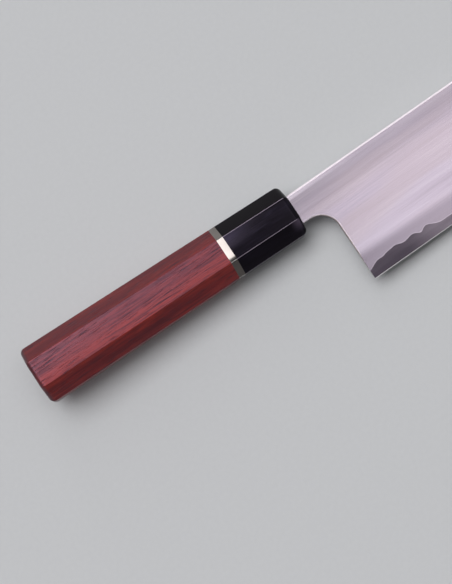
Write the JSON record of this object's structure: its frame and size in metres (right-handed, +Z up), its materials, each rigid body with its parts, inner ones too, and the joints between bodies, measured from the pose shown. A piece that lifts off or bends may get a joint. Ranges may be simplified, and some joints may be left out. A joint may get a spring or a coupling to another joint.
{
  "type": "nakiri knife",
  "caption": "Straight-edged vegetable knife with a three-layer steel blade, an eight-sided wooden handle, a metal ring and a dark horn ferrule, lying on its side.",
  "frame": {"origin": "on the table under the middle of the knife's footprint", "axes": "+X along the handle towards the blade's front, +Y from the cutting edge to the spine, +Z up off the table; the blade's right face looks up"},
  "size_m": [0.3106, 0.0582, 0.0266],
  "materials": {
    "core_steel": "dark satin carbon steel",
    "cladding_steel": "fine lengthwise brush",
    "horn": "polished black horn",
    "nickel_silver": "polished",
    "rosewood": "oiled, straight grain",
    "dowel_wood": "plain",
    "bedding": "set adhesive"
  },
  "bodies": {
    "root": {"core_steel": "core_steel", "cladding_right": "cladding_steel", "cladding_left": "cladding_steel", "ferrule": "horn", "spacer_ring": "nickel_silver", "handle_body": "rosewood", "dowel": "dowel_wood", "tang_bedding": "bedding", "neck_seal": "bedding"}
  },
  "joints": []
}
